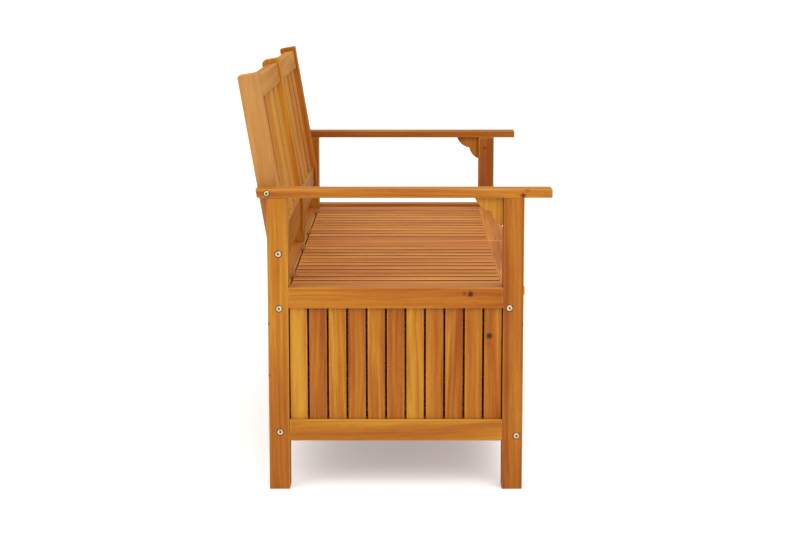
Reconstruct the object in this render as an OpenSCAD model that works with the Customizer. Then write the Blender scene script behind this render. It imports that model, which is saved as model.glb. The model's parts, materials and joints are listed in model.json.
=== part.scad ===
// Two-seat slatted storage bench with two lift-up seat lids.
// Length runs along X, the front faces -Y, and the feet stand on Z = 0.
// "left" is the -X end, as seen by someone who faces the bench.

/* [Overall] */
// Length over both armrests
bench_length = 1200; // [1000:10:1500]
// Front of the armrests to the rear top edge of the backrest
bench_depth = 624; // [580:2:720]
// Floor to the top of the backrest
bench_height = 840; // [780:5:920]

/* [Legs] */
// Width and thickness of the square legs
leg_size = 41; // [35:1:52]
// How far the front leg stands behind the armrest tip
front_leg_setback = 55; // [30:1:90]

/* [Armrests] */
// Height of the top of the armrest
arm_top = 613; // [560:1:680]
// Thickness of the armrest
arm_thick = 18; // [15:1:28]
// How far the armrest stands out past the outer face of the leg
arm_overhang = 2; // [0:0.5:10]
// Length of the curved bracket along the armrest, and its height down the leg
bracket_size = 56; // [40:1:90]
// Thickness of the curved bracket
bracket_thick = 22; // [15:1:30]

/* [Box] */
// Height of the seat surface
seat_top = 409; // [360:1:470]
// How far the upper side rail stands above the seat
rail_rise = 6; // [0:1:12]
// Height of the side rails
side_rail_height = 42; // [34:1:60]
// Underside of the lower side rail above the floor
lower_rail_base = 101; // [70:1:140]
// Number of slats in each side of the box
side_slat_count = 11; // [7:1:15]
// Thickness of the slats of the box
box_slat_thick = 13; // [10:1:18]
// How far the side slats are set back from the outer face
side_slat_setback = 7; // [3:1:20]
// Gap between neighbouring box slats
box_slat_gap = 4.5; // [2:0.5:12]
// Thickness of the front and rear rails
rail_thick = 20; // [16:1:26]
// Height of the front and rear rails
rail_height = 44; // [36:1:60]
// Number of slats in the front and in the rear of the box
front_slat_count = 29; // [20:1:36]
// Number of slats in the floor
floor_slat_count = 14; // [8:1:20]
// Width of one floor slat
floor_slat_width = 56; // [40:1:66]
// Thickness of the floor slats and of the strips that carry them
floor_thick = 13; // [10:1:20]
// Width of the beam under the joint between the lids
beam_width = 40; // [30:1:60]
// Height of the beam under the joint between the lids
beam_height = 34; // [25:1:50]

/* [Lids] */
// Thickness of the lid slats
lid_thick = 18; // [14:1:25]
// Number of narrow slats in each lid, between its two wide edge slats
narrow_slat_count = 10; // [6:1:14]
// Width of the wide slat at each edge of a lid
edge_slat_width = 62; // [50:1:80]
// Gap between neighbouring lid slats
lid_slat_gap = 12; // [4:0.5:16]
// Space between a lid and what stands beside it
lid_clear = 2; // [1:0.5:5]
// Width of the battens under a lid
batten_width = 38; // [30:1:50]
// Thickness of the battens under a lid
batten_thick = 18; // [14:1:24]
// Angle to which a lid opens
lid_open = 94; // [60:1:94]

/* [Backrest] */
// Lean of the backrest from plumb
lean = 9.6; // [6:0.1:12]
// Thickness of a stile along the bench
stile_thick = 28; // [22:1:36]
// Depth of a stile, square to its lean
stile_depth = 41; // [36:1:52]
// Space between the front of the stile's foot and the front of the rear leg
foot_setback = 5; // [4:0.5:10]
// Height of the crest rail
crest_height = 45; // [35:1:70]
// Thickness of the crest rail
crest_thick = 25; // [20:1:32]
// Distance from the top of the stiles down to the top of the crest rail
crest_drop = 11; // [4:1:25]
// How far the crest rail is set back from the front of the stiles
crest_setback = 6; // [2:1:12]
// How far the back slats are set back from the front of the stiles
back_slat_setback = 11; // [8:1:16]
// Thickness of the back slats
back_slat_thick = 13; // [9:1:16]
// Number of slats in each half of the back
back_slat_count = 4; // [3:1:7]
// Width of one back slat
back_slat_width = 66; // [40:1:75]
// Height of the bottom rail of the back
back_rail_height = 75; // [55:1:90]
// Thickness of the bottom rail of the back
back_rail_thick = 22; // [20:1:28]
// Clear height between the seat and the bottom rail of the back
back_rail_clear = 36; // [20:1:60]

/* [Hardware] */
// Diameter of the connecting bolts
bolt_d = 6; // [5:1:8]
// Diameter of the bolt heads
bolt_head_d = 13; // [11:0.5:17]
// Length of a hinge along its pin
hinge_length = 60; // [40:2:90]
// Thickness of the hinge leaves
leaf_thick = 1.2; // [1:0.1:2]
// Diameter of the hinge pin
hinge_pin_d = 3; // [2.5:0.5:4]
// Distance from the edge of a lid to the middle of the nearer hinge
hinge_inset = 110; // [70:5:160]

/* [Hidden] */

$fn = 40;
TINY = 0.01;                 // overlap that keeps a cut clean
FIT = 0.05;                  // clearance round a pin, dowel or bolt in its hole
SEAT_GAP = 0.6;              // gap under a closed lid
LID_NOSE = 5;                // reach of the lids in front of the legs
KNEE_DROP = 2.66;            // knee of a stile below the top of the bottom rail
HEAD_CLEAR = 1;              // gap round a bolt head in its pocket
END_CORNER = 6;              // radius at the rear top corner of an end stile
MIDDLE_CORNER = 11;          // the same on the middle stile

WOOD = "#c4813c";
WOOD_DARK = "#a8662c";
WOOD_PALE = "#d59a55";
ZINC = "#cfc7a6";
BRASS = "#b99b52";

// Places along X, all for the left end; the right end mirrors them
arm_outer = -bench_length / 2;
leg_outer = arm_outer + arm_overhang;
leg_inner = leg_outer + leg_size;
stile_inner = leg_inner + stile_thick;
panel_width = -stile_inner - stile_thick / 2;
inner_length = -2 * leg_inner;

// Places along Y; the lean of the back says where the rear legs stand
tip_y = -bench_depth / 2;
rear_y = bench_depth / 2;
back_rail_z = seat_top + back_rail_clear;
back_rail_top = back_rail_z + back_rail_height;
knee_z = back_rail_top - KNEE_DROP;
front_top_y = rear_y - stile_depth * cos(lean);
foot_y = front_top_y - (bench_height - knee_z) * tan(lean);
front_leg_y = tip_y + front_leg_setback;
front_leg_back = front_leg_y + leg_size;
rear_leg_y = foot_y - foot_setback;
rear_leg_back = rear_leg_y + leg_size;
leg_clear = rear_leg_y - front_leg_back;
leg_mid_y = rear_leg_y + leg_size / 2;

// Places along Z
side_rail_top = seat_top + rail_rise;
lower_rail_top = lower_rail_base + side_rail_height + 2;
lid_under = seat_top - lid_thick;
rear_rail_top = lid_under;
front_rail_top = lid_under - SEAT_GAP;
arm_under = arm_top - arm_thick;

// Rear rails stand in the middle of the legs; the lower front rail stands
// further forward than the upper one, so that the front slats stand on it
rear_rail_y = leg_mid_y - rail_thick / 2 - 2;
upper_front_y = front_leg_back - rail_thick - 3;
front_slat_y = upper_front_y - box_slat_thick;
lower_front_y = front_slat_y - 3;
lower_rail_z = lower_rail_base - 12;
lower_rear_z = lower_rail_base - 4;
slat_groove = 8;             // depth of the grooves that hold slat ends

// Backrest: local frame of the leaning part has its origin at the knee,
// local Y square to the lean and local Z up along it
foot_back = rear_leg_back + 1;
lean_length = (bench_height - knee_z) / cos(lean);
crest_top = lean_length - crest_drop;
crest_base = crest_top - crest_height;
back_rail_y = foot_y + 8;
back_rail_mid_y = back_rail_y + 6;
slat_foot = -5;              // lower end of a back slat along the lean

// Lids
lid_x0 = leg_inner + lid_clear;
lid_x1 = -lid_clear / 2 - 0.5;
lid_width = lid_x1 - lid_x0;
narrow_pitch = (lid_width - 2 * edge_slat_width - lid_slat_gap)
    / narrow_slat_count;
narrow_width = narrow_pitch - lid_slat_gap;
lid_front_y = front_leg_y - LID_NOSE;
lid_board_back = front_leg_back;
lid_slat_front = lid_board_back + 1;
pin_r = hinge_pin_d / 2;
knuckle_r = pin_r + 1.5;
pin_y = rear_leg_y + 0.1;
pin_z = seat_top + 3.2;
board_y = pin_y + leaf_thick + 0.7;      // front face of the hinge board
lid_slat_back = pin_y - leaf_thick - 0.7;
leaf_height = 24;
batten_top = lid_under;
batten_base = lid_under - batten_thick;
front_batten_y = upper_front_y + rail_thick + 2.5;
rear_batten_y = lid_slat_back - batten_width;
batten_x1 = -beam_width / 2 - 3;
hinge_x = [lid_x0 + hinge_inset, lid_x1 - hinge_inset];

// Hardware
bolt_r = bolt_d / 2;
head_r = bolt_head_d / 2;
head_sink = 3.4;             // depth of the pocket for a bolt head
head_thick = 3;
nut_r = 5;
nut_inset = 38;              // from the end of a rail to its barrel nut
dowel_r = 4;
dowel_length = 40;
side_dowel_length = 30;
screw_r = 1.75;
screw_head_r = 3.6;
screw_head_thick = 1.8;

// Bolts at one end: [y, z, where the bolt meets the rail's end]
frame_bolts = [
    [back_rail_mid_y, back_rail_z + back_rail_height / 2, stile_inner],
    [rear_rail_y + rail_thick / 2, rear_rail_top - 19, leg_inner],
    [rear_rail_y + rail_thick / 2, lower_rear_z + rail_height / 2, leg_inner],
    [upper_front_y + rail_thick / 2, front_rail_top - 17, leg_inner],
    [lower_front_y + rail_thick / 2, lower_rail_z + rail_height / 2, leg_inner]
];
arm_bolt_z = arm_top - arm_thick / 2;
arm_bolt_y = rear_line(arm_bolt_z) - stile_depth / 2;

function rear_line(z) = rear_y
    - (bench_height - stile_depth * sin(lean) - z) * tan(lean);

// Points of an arc from p to q that bulges to the right of p to q by sag
function arc_points(p, q, sag, steps = 8) =
    let (mid = (p + q) / 2, half = norm(q - p) / 2,
         r = (half * half + sag * sag) / (2 * sag),
         n = [(q - p)[1], -(q - p)[0]] / (2 * half),
         c = mid - n * (r - sag),
         a0 = atan2(p[1] - c[1], p[0] - c[0]),
         a1 = atan2(q[1] - c[1], q[0] - c[0]),
         turn = a1 - a0 > 180 ? a1 - a0 - 360
              : a1 - a0 < -180 ? a1 - a0 + 360 : a1 - a0)
    [for (i = [0:steps]) c + r * [cos(a0 + turn * i / steps),
                                  sin(a0 + turn * i / steps)]];

// ---- helpers ----

// A board between two corners
module board(a, b) {
    translate(a) cube(b - a);
}

// The left-end children, or their mirror image at the right end
module at_end(side) {
    mirror([side == "right" ? 1 : 0, 0, 0]) children();
}

// An outline in the YZ plane made into a board from x0 to x1
module yz_board(x0, x1) {
    translate([x0, 0, 0]) rotate([90, 0, 90])
        linear_extrude(height = x1 - x0) children();
}

// Children in the local frame of the leaning back
module leaning() {
    translate([0, foot_y, knee_z]) rotate([-lean, 0, 0]) children();
}

// A rod along X, Y or Z that starts at a point
module rod_x(p, r, length) {
    translate(p) rotate([0, 90, 0]) cylinder(r = r, h = length);
}
module rod_y(p, r, length) {
    translate(p) rotate([-90, 0, 0]) cylinder(r = r, h = length);
}
module rod_z(p, r, length) {
    translate(p) cylinder(r = r, h = length);
}

// A wood screw that points up from its head, with clearance for its hole
module screw_up(p, length, clear = 0) {
    rod_z(p, screw_head_r + clear, screw_head_thick + clear / 10);
    rod_z(p, screw_r + clear, length + clear);
}

// A wood screw that points down from its head
module screw_down(p, length, clear = 0) {
    translate(p) mirror([0, 0, 1]) screw_up([0, 0, 0], length, clear);
}

// A wood screw whose head faces along +Y or -Y
module screw_y(p, length, dir, clear = 0) {
    translate(p) rotate([dir > 0 ? 90 : -90, 0, 0])
        screw_up([0, 0, 0], length, clear);
}

// ---- dowels and bolts, as rods for the pieces and for their holes ----

// Dowels that join both side rails of the left end to its legs
module side_dowel_rods(clear = 0) {
    x = leg_outer + side_slat_setback + box_slat_thick + dowel_r + 3;
    for (z = [side_rail_top - side_rail_height / 2,
              (lower_rail_base + lower_rail_top) / 2],
         dz = [-10, 10], y = [front_leg_back, rear_leg_y])
        rod_y([x, y - side_dowel_length / 2 - clear, z + dz],
              dowel_r + clear, side_dowel_length + 2 * clear);
}

// Dowels that stand in the leg tops and enter the left armrest
module armrest_dowel_rods(clear = 0) {
    for (y = [front_leg_y + leg_size / 2, rear_leg_y + leg_size / 2 - 4])
        rod_z([leg_outer + leg_size / 2, y, arm_under - 28 - clear],
              dowel_r + clear, 38 + 2 * clear);
}

module end_dowel_rods() {
    side_dowel_rods();
    armrest_dowel_rods();
}

// Dowels of the left half of the back
module back_dowel_rods(clear = 0) {
    for (x = [stile_inner, -stile_thick / 2])
        leaning() rod_x(
            [x - dowel_length / 4 - clear,
             crest_setback + crest_thick / 2, crest_base + crest_height / 2],
            dowel_r + clear, dowel_length / 2 + 2 * clear);
    for (dz = [-18, 18])
        rod_x([-stile_thick / 2 - dowel_length / 2 - clear,
               back_rail_y + back_rail_thick / 2,
               back_rail_z + back_rail_height / 2 + dz],
              dowel_r + clear, dowel_length / 2 + 10 + 2 * clear);
}

// Dowels that hold the centre beam between the upper rails
module beam_dowel_rods(clear = 0) {
    z = rear_rail_top - 1 - beam_height / 2;
    for (x = [-10, 10], y = [upper_front_y + rail_thick, rear_rail_y])
        rod_y([x, y - 15 - clear, z], dowel_r + clear, 30 + 2 * clear);
}

// Middle of each slat of the left lid, with its width: [x, width]
function lid_slats() = concat(
    [[lid_x0 + edge_slat_width / 2, edge_slat_width]],
    [for (i = [0:narrow_slat_count - 1])
        [lid_x0 + edge_slat_width + lid_slat_gap
            + (i + 0.5) * narrow_pitch - lid_slat_gap / 2, narrow_width]],
    [[lid_x1 - edge_slat_width / 2, edge_slat_width]]);

// Dowels between the front board of the left lid and its slats
module lid_dowel_rods(clear = 0) {
    for (s = lid_slats())
        rod_y([s[0], lid_board_back - 18 - clear, lid_under + lid_thick / 2],
              dowel_r + clear, dowel_length - 2 + 2 * clear);
}

// Screws up through the battens of the left lid into its slats
module lid_screw_rods(clear = 0) {
    for (s = lid_slats(),
         y = [front_batten_y + batten_width / 2 + 6,
              rear_batten_y + batten_width / 2 - 6])
        screw_up([min(s[0], batten_x1 - 8), y, batten_base], batten_thick + 12,
                 clear);
}

// Bolts through the left end into the rails
module frame_bolt_rods(clear = 0) {
    for (b = frame_bolts) {
        end = b[2] + nut_inset + 10;
        x0 = leg_outer + head_sink - head_thick;
        difference() {
            union() {
                rod_x([x0 - clear, b[0], b[1]], head_r + clear,
                      head_thick + clear);
                rod_x([x0, b[0], b[1]], bolt_r + clear, end - x0 + clear);
            }
            if (clear == 0)
                translate([x0 - TINY, b[0], b[1]]) rotate([0, 90, 0])
                    cylinder(d = bolt_d * 0.9, h = 2.2, $fn = 6);
        }
    }
}

// The pocket and hole for each bolt of the left end
module frame_bolt_holes() {
    for (b = frame_bolts) {
        end = b[2] + nut_inset + 14;
        rod_x([leg_outer - 1, b[0], b[1]], head_r + HEAD_CLEAR, head_sink + 1);
        rod_x([leg_outer - 1, b[0], b[1]], bolt_r + 0.2, end - leg_outer);
        rod_y([b[2] + nut_inset, b[0] - 7 - FIT, b[1]], nut_r + FIT,
              14 + 2 * FIT);
    }
}

// The bolt that holds the left armrest to its stile
module armrest_bolt_rod(clear = 0) {
    x0 = arm_outer + head_sink - head_thick;
    end = stile_inner - 5;
    difference() {
        union() {
            rod_x([x0 - clear, arm_bolt_y, arm_bolt_z], head_r - 1 + clear,
                  head_thick + clear);
            rod_x([x0, arm_bolt_y, arm_bolt_z], bolt_r + clear,
                  end - x0 + clear);
        }
        if (clear == 0)
            translate([x0 - TINY, arm_bolt_y, arm_bolt_z]) rotate([0, 90, 0])
                cylinder(d = bolt_d * 0.9, h = 2.2, $fn = 6);
    }
}

// The pocket and hole for the armrest bolt
module armrest_bolt_hole() {
    rod_x([arm_outer - 1, arm_bolt_y, arm_bolt_z], head_r - 1 + HEAD_CLEAR,
          head_sink + 1);
    armrest_bolt_rod(0.15);
}

// ---- sides ----

// A leg of the left end from the floor to the armrest
module leg(y) {
    difference() {
        board([leg_outer, y, 0], [leg_inner, y + leg_size, arm_under]);
        frame_bolt_holes();
        side_dowel_rods(FIT);
        armrest_dowel_rods(FIT);
    }
}

// A side rail with a groove for the slats on one long edge
module side_rail(z0, z1, groove_at) {
    x = leg_outer + side_slat_setback;
    difference() {
        board([leg_outer, front_leg_back, z0], [leg_inner, rear_leg_y, z1]);
        board([x - FIT, front_leg_back - 1, groove_at],
              [x + box_slat_thick + FIT, rear_leg_y + 1,
               groove_at + slat_groove]);
        side_dowel_rods(FIT);
    }
}
module upper_side_rail() {
    side_rail(side_rail_top - side_rail_height, side_rail_top,
              side_rail_top - side_rail_height - TINY);
}
module lower_side_rail() {
    side_rail(lower_rail_base, lower_rail_top,
              lower_rail_top - slat_groove + TINY);
}

// The slats that fill the left end between its two rails
module side_slats() {
    pitch = leg_clear / side_slat_count;
    x = leg_outer + side_slat_setback;
    for (i = [0:side_slat_count - 1])
        board([x, front_leg_back + i * pitch + box_slat_gap / 2,
               lower_rail_top - slat_groove + 0.2],
              [x + box_slat_thick,
               front_leg_back + (i + 1) * pitch - box_slat_gap / 2,
               side_rail_top - side_rail_height + slat_groove - 0.2]);
}

// ---- armrests ----

// The left armrest, cut along the lean beside the stile
module armrest() {
    difference() {
        yz_board(arm_outer, leg_inner)
            polygon([[tip_y, arm_under], [rear_line(arm_under), arm_under],
                     [rear_line(arm_top), arm_top], [tip_y, arm_top]]);
        armrest_dowel_rods(FIT);
        armrest_bolt_hole();
    }
}

// The curved bracket in the corner of the left front leg and armrest
module armrest_bracket() {
    back = front_leg_back + bracket_size;
    low = arm_under - bracket_size;
    waist = [front_leg_back + bracket_size * 0.44,
             arm_under - bracket_size * 0.5];
    lip = 4;
    x = leg_outer + (leg_size - bracket_thick) / 2;
    yz_board(x, x + bracket_thick)
        polygon(concat(
            [[front_leg_back, arm_under]],
            [[front_leg_back, low]],
            arc_points([front_leg_back + lip, low], waist, 4),
            arc_points(waist, [back, arm_under - lip], 5),
            [[back, arm_under]]));
}

// ---- box ----

// A rail along the whole box between the legs
module long_rail(y, z0, z1) {
    difference() {
        board([leg_inner, y, z0], [-leg_inner, y + rail_thick, z1]);
        for (side = ["left", "right"]) at_end(side) frame_bolt_holes();
        beam_dowel_rods(FIT);
        box_screw_rods(0.1);
        stile_screw_rods(0.1);
        floor_screw_rods(0.1);
    }
}
module upper_front_rail() {
    long_rail(upper_front_y, front_rail_top - rail_height, front_rail_top);
}
module lower_front_rail() {
    long_rail(lower_front_y, lower_rail_z, lower_rail_z + rail_height);
}
module upper_rear_rail() {
    long_rail(rear_rail_y, rear_rail_top - rail_height, rear_rail_top);
}
module lower_rear_rail() {
    long_rail(rear_rail_y, lower_rear_z, lower_rear_z + rail_height);
}

front_slat_pitch = inner_length / front_slat_count;
front_slat_width = front_slat_pitch - box_slat_gap;
front_slat_z0 = lower_rail_z + rail_height;
front_slat_z1 = front_rail_top - 2;
rear_slat_y = rear_rail_y + rail_thick;
rear_slat_z0 = lower_rear_z;
rear_slat_z1 = rear_rail_top - 1;

function box_slat_x(i) = leg_inner + (i + 0.5) * front_slat_pitch;

// Screws that hold the front slats to the upper rail, from inside, and the
// rear slats to both rear rails, from behind
module box_screw_rods(clear = 0) {
    for (i = [0:front_slat_count - 1]) {
        screw_y([box_slat_x(i), upper_front_y + rail_thick,
                 front_rail_top - 34], rail_thick + 9, 1, clear);
        for (z = [rear_slat_z0 + rail_height * 0.75,
                  rear_slat_z1 - rail_height * 0.75])
            screw_y([box_slat_x(i), rear_slat_y + box_slat_thick, z],
                    box_slat_thick + 12, 1, clear);
    }
}

module front_slats() {
    difference() {
        for (i = [0:front_slat_count - 1])
            board([box_slat_x(i) - front_slat_width / 2, front_slat_y,
                   front_slat_z0],
                  [box_slat_x(i) + front_slat_width / 2, upper_front_y,
                   front_slat_z1]);
        box_screw_rods(0.1);
    }
}

module rear_slats() {
    difference() {
        for (i = [0:front_slat_count - 1])
            board([box_slat_x(i) - front_slat_width / 2, rear_slat_y,
                   rear_slat_z0],
                  [box_slat_x(i) + front_slat_width / 2,
                   rear_slat_y + box_slat_thick, rear_slat_z1]);
        box_screw_rods(0.1);
    }
}

// Strips along the inner faces of the lower rails that carry the floor
bearer_z = lower_rear_z + 2;
bearer_height = 22;
bearer_thick = 18;
front_bearer_y = lower_front_y + rail_thick;
rear_bearer_y = rear_rail_y - bearer_thick;
floor_z = bearer_z + bearer_height;
floor_pitch = (inner_length - 6) / floor_slat_count;

function floor_x(i) = leg_inner + 3 + (i + 0.5) * floor_pitch;

// Screws down through the floor slats into the bearers
module floor_screw_rods(clear = 0) {
    for (i = [0:floor_slat_count - 1],
         y = [front_bearer_y + bearer_thick / 2,
              rear_bearer_y + bearer_thick / 2])
        screw_down([floor_x(i), y, floor_z + floor_thick],
                   floor_thick + 12, clear);
}

module floor_bearers() {
    difference() {
        for (y = [front_bearer_y, rear_bearer_y])
            board([leg_inner + 1, y, bearer_z],
                  [-leg_inner - 1, y + bearer_thick, floor_z]);
        floor_screw_rods(0.1);
    }
}

module floor_slats() {
    difference() {
        for (i = [0:floor_slat_count - 1])
            board([floor_x(i) - floor_slat_width / 2, front_bearer_y + 0.5,
                   floor_z],
                  [floor_x(i) + floor_slat_width / 2, rear_rail_y - 0.5,
                   floor_z + floor_thick]);
        floor_screw_rods(0.1);
    }
}

// The beam under the joint between the lids
module centre_beam() {
    difference() {
        board([-beam_width / 2, upper_front_y + rail_thick,
               rear_rail_top - 1 - beam_height],
              [beam_width / 2, rear_rail_y, rear_rail_top - 1]);
        beam_dowel_rods(FIT);
    }
}

// Screws up through the hinge board into the feet of the stiles
module stile_screw_rods(clear = 0) {
    for (x = [stile_inner - stile_thick / 2, 0,
              -stile_inner + stile_thick / 2],
         y = [foot_back - 8])
        screw_up([x, y, lid_under], 50, clear);
}

// The fixed board behind the lids, which carries the hinges and the stiles
module hinge_board() {
    difference() {
        board([leg_inner + 0.2, board_y, lid_under],
              [-leg_inner - 0.2, rear_leg_back, seat_top]);
        stile_screw_rods(0.1);
        hinge_screw_rods_fixed(0.05);
    }
}

// ---- backrest ----

// Outline of a stile: a plumb foot, the knee and the leaning part, with the
// rear top corner rounded
module stile_outline(corner) {
    top_z = bench_height - stile_depth * sin(lean);
    rear = [rear_y, top_z];
    front = [front_top_y, bench_height];
    up = [sin(lean), cos(lean)];
    across = [-cos(lean), sin(lean)];
    rear_knee_z = top_z - (rear_y - foot_back) / tan(lean);
    polygon(concat(
        [[foot_y, seat_top], [foot_back, seat_top], [foot_back, rear_knee_z]],
        arc_points(rear - up * corner, rear + across * corner,
                   corner * (1 - sqrt(0.5)), 6),
        [front, [foot_y, knee_z]]));
}

module back_stile(x, corner) {
    difference() {
        yz_board(x, x + stile_thick) stile_outline(corner);
        stile_screw_rods(0.1);
        for (side = ["left", "right"]) at_end(side) {
            frame_bolt_holes();
            armrest_bolt_hole();
            back_dowel_rods(FIT);
        }
    }
}

// Middle of each back slat of the left half
function back_slat_x(i) = stile_inner
    + (i + 1) * (panel_width - back_slat_count * back_slat_width)
      / (back_slat_count + 1)
    + (i + 0.5) * back_slat_width;

// The slats of the left half of the back
module back_slats(clear = 0) {
    leaning() for (i = [0:back_slat_count - 1])
        board([back_slat_x(i) - back_slat_width / 2 - clear,
               back_slat_setback - clear, slat_foot - clear],
              [back_slat_x(i) + back_slat_width / 2 + clear,
               back_slat_setback + back_slat_thick + clear,
               crest_base + slat_groove + clear]);
}

module crest_rail() {
    difference() {
        leaning() board([stile_inner, crest_setback, crest_base],
                        [-stile_thick / 2, crest_setback + crest_thick,
                         crest_top]);
        back_slats(0.2);
        back_dowel_rods(FIT);
    }
}

module back_bottom_rail() {
    difference() {
        board([stile_inner, back_rail_y, back_rail_z],
              [-stile_thick / 2, back_rail_y + back_rail_thick,
               back_rail_top]);
        back_slats(0.2);
        back_dowel_rods(FIT);
        frame_bolt_holes();
    }
}

// ---- lids, each drawn for the left side ----

module lid_front_board() {
    difference() {
        board([lid_x0, lid_front_y, lid_under],
              [lid_x1, lid_board_back, seat_top]);
        lid_dowel_rods(FIT);
    }
}

module lid_slat_set() {
    difference() {
        for (s = lid_slats())
            board([s[0] - s[1] / 2, lid_slat_front, lid_under],
                  [s[0] + s[1] / 2, lid_slat_back, seat_top]);
        lid_dowel_rods(FIT);
        lid_screw_rods(0.1);
        hinge_screw_rods_moving(0.05);
    }
}

module lid_battens() {
    difference() {
        for (y = [front_batten_y, rear_batten_y])
            board([lid_x0 + 4, y, batten_base],
                  [batten_x1, y + batten_width, batten_top]);
        lid_screw_rods(0.1);
        hinge_screw_rods_moving(0.05);
    }
}

// ---- hinges, each drawn for the left lid ----

knuckle_count = 5;
knuckle_pitch = hinge_length / knuckle_count;
knuckle_gap = 0.4;

// Knuckles of one leaf: the odd ones or the even ones
module knuckles(x, odd) {
    for (k = [0:knuckle_count - 1])
        if ((k % 2 == 1) == odd)
            rod_x([x - hinge_length / 2 + k * knuckle_pitch + knuckle_gap / 2,
                   pin_y, pin_z], knuckle_r, knuckle_pitch - knuckle_gap);
}

// A leaf that hangs from the pin, with its knuckles, its screw holes and a
// notch for each knuckle of the other leaf
module hinge_leaf(x, y, odd, z_low) {
    difference() {
        union() {
            board([x - hinge_length / 2, y, z_low],
                  [x + hinge_length / 2, y + leaf_thick, pin_z]);
            knuckles(x, odd);
        }
        for (k = [0:knuckle_count - 1])
            if ((k % 2 == 1) != odd)
                board([x - hinge_length / 2 + k * knuckle_pitch
                           - knuckle_gap / 2,
                       pin_y - knuckle_r - 1, pin_z - knuckle_r - 0.4],
                      [x - hinge_length / 2 + (k + 1) * knuckle_pitch
                           + knuckle_gap / 2,
                       pin_y + knuckle_r + 1, pin_z + knuckle_r + 1]);
        rod_x([x - hinge_length, pin_y, pin_z], pin_r + (odd ? 0.05 : FIT / 5),
              2 * hinge_length);
    }
}

module hinge_fixed_leaf_pair() {
    difference() {
        for (x = hinge_x)
            hinge_leaf(x, board_y - leaf_thick, false,
                       lid_under - leaf_height + lid_thick);
        hinge_screw_rods_fixed(0.05);
    }
}

module hinge_moving_leaf_pair() {
    difference() {
        for (x = hinge_x)
            hinge_leaf(x, lid_slat_back, true, batten_base + 4);
        hinge_screw_rods_moving(0.05);
    }
}

module hinge_pin_pair() {
    for (x = hinge_x)
        rod_x([x - hinge_length / 2, pin_y, pin_z], pin_r, hinge_length);
}

// Screws through the leaves: into the hinge board, and into the rear batten
screw_x = [-hinge_length / 3, 0, hinge_length / 3];
module leaf_screw(p, dir, length, clear) {
    translate(p) rotate([dir > 0 ? 90 : -90, 0, 0]) {
        rod_z([0, 0, 0], 2.4 + clear, 0.8);
        rod_z([0, 0, 0], 1.4 + clear, length + clear);
    }
}
module hinge_screw_rods_fixed(clear = 0) {
    for (side = ["left", "right"]) at_end(side)
        for (x = hinge_x, dx = screw_x)
            leaf_screw([x + dx, board_y - leaf_thick, lid_under + 7], -1, 20,
                       clear);
}
module hinge_screw_rods_moving(clear = 0) {
    for (x = hinge_x, dx = screw_x)
        leaf_screw([x + dx, lid_slat_back + leaf_thick, batten_base + 9], 1,
                   20, clear);
}

// ---- barrel nuts ----

module barrel_nut_set() {
    for (b = frame_bolts)
        difference() {
            rod_y([b[2] + nut_inset, b[0] - 7, b[1]], nut_r, 14);
            rod_x([b[2] + nut_inset - 8, b[0], b[1]], bolt_r + FIT, 16);
        }
}

// ---- nodes ----

module both_ends() {
    for (side = ["left", "right"]) at_end(side) children();
}

color(WOOD) leg(front_leg_y);  // front_leg_left
color(WOOD) at_end("right") leg(front_leg_y);  // front_leg_right
color(WOOD) leg(rear_leg_y);  // rear_leg_left
color(WOOD) at_end("right") leg(rear_leg_y);  // rear_leg_right
color(WOOD) upper_side_rail();  // upper_side_rail_left
color(WOOD) at_end("right") upper_side_rail();  // upper_side_rail_right
color(WOOD) lower_side_rail();  // lower_side_rail_left
color(WOOD) at_end("right") lower_side_rail();  // lower_side_rail_right
color(WOOD_PALE) side_slats();  // side_slats_left
color(WOOD_PALE) at_end("right") side_slats();  // side_slats_right
color(WOOD) armrest();  // armrest_left
color(WOOD) at_end("right") armrest();  // armrest_right
color(WOOD_PALE) armrest_bracket();  // armrest_bracket_left
color(WOOD_PALE) at_end("right") armrest_bracket();  // armrest_bracket_right
color(WOOD) upper_front_rail();
color(WOOD) lower_front_rail();
color(WOOD_PALE) front_slats();
color(WOOD) upper_rear_rail();
color(WOOD) lower_rear_rail();
color(WOOD_PALE) rear_slats();
color(WOOD_DARK) floor_bearers();
color(WOOD_DARK) floor_slats();
color(WOOD_DARK) centre_beam();
color(WOOD_DARK) hinge_board();
color(WOOD_PALE) back_stile(leg_inner, END_CORNER);  // back_stile_left
color(WOOD) back_stile(-stile_thick / 2, MIDDLE_CORNER);  // back_stile_middle
color(WOOD) back_stile(-leg_inner - stile_thick, END_CORNER);  // back_stile_right
color(WOOD) crest_rail();  // crest_rail_left
color(WOOD) at_end("right") crest_rail();  // crest_rail_right
color(WOOD) back_bottom_rail();  // back_bottom_rail_left
color(WOOD) at_end("right") back_bottom_rail();  // back_bottom_rail_right
color(WOOD_PALE) back_slats();  // back_slats_left
color(WOOD_PALE) at_end("right") back_slats();  // back_slats_right
color(WOOD) lid_front_board();  // lid_front_board_left
color(WOOD) at_end("right") lid_front_board();  // lid_front_board_right
color(WOOD_PALE) lid_slat_set();  // lid_slats_left
color(WOOD_PALE) at_end("right") lid_slat_set();  // lid_slats_right
color(WOOD_DARK) lid_battens();  // lid_battens_left
color(WOOD_DARK) at_end("right") lid_battens();  // lid_battens_right
color(BRASS) both_ends() hinge_fixed_leaf_pair();  // hinge_fixed_leaves
color(BRASS) both_ends() hinge_pin_pair();  // hinge_pins
color(BRASS) hinge_moving_leaf_pair();  // hinge_moving_leaves_left
color(BRASS) at_end("right") hinge_moving_leaf_pair();  // hinge_moving_leaves_right
color(ZINC) frame_bolt_rods();  // frame_bolts_left
color(ZINC) at_end("right") frame_bolt_rods();  // frame_bolts_right
color(ZINC) both_ends() armrest_bolt_rod();  // armrest_bolts
color(ZINC) both_ends() barrel_nut_set();  // barrel_nuts
color(WOOD_PALE) both_ends() end_dowel_rods();  // end_dowels
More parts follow.
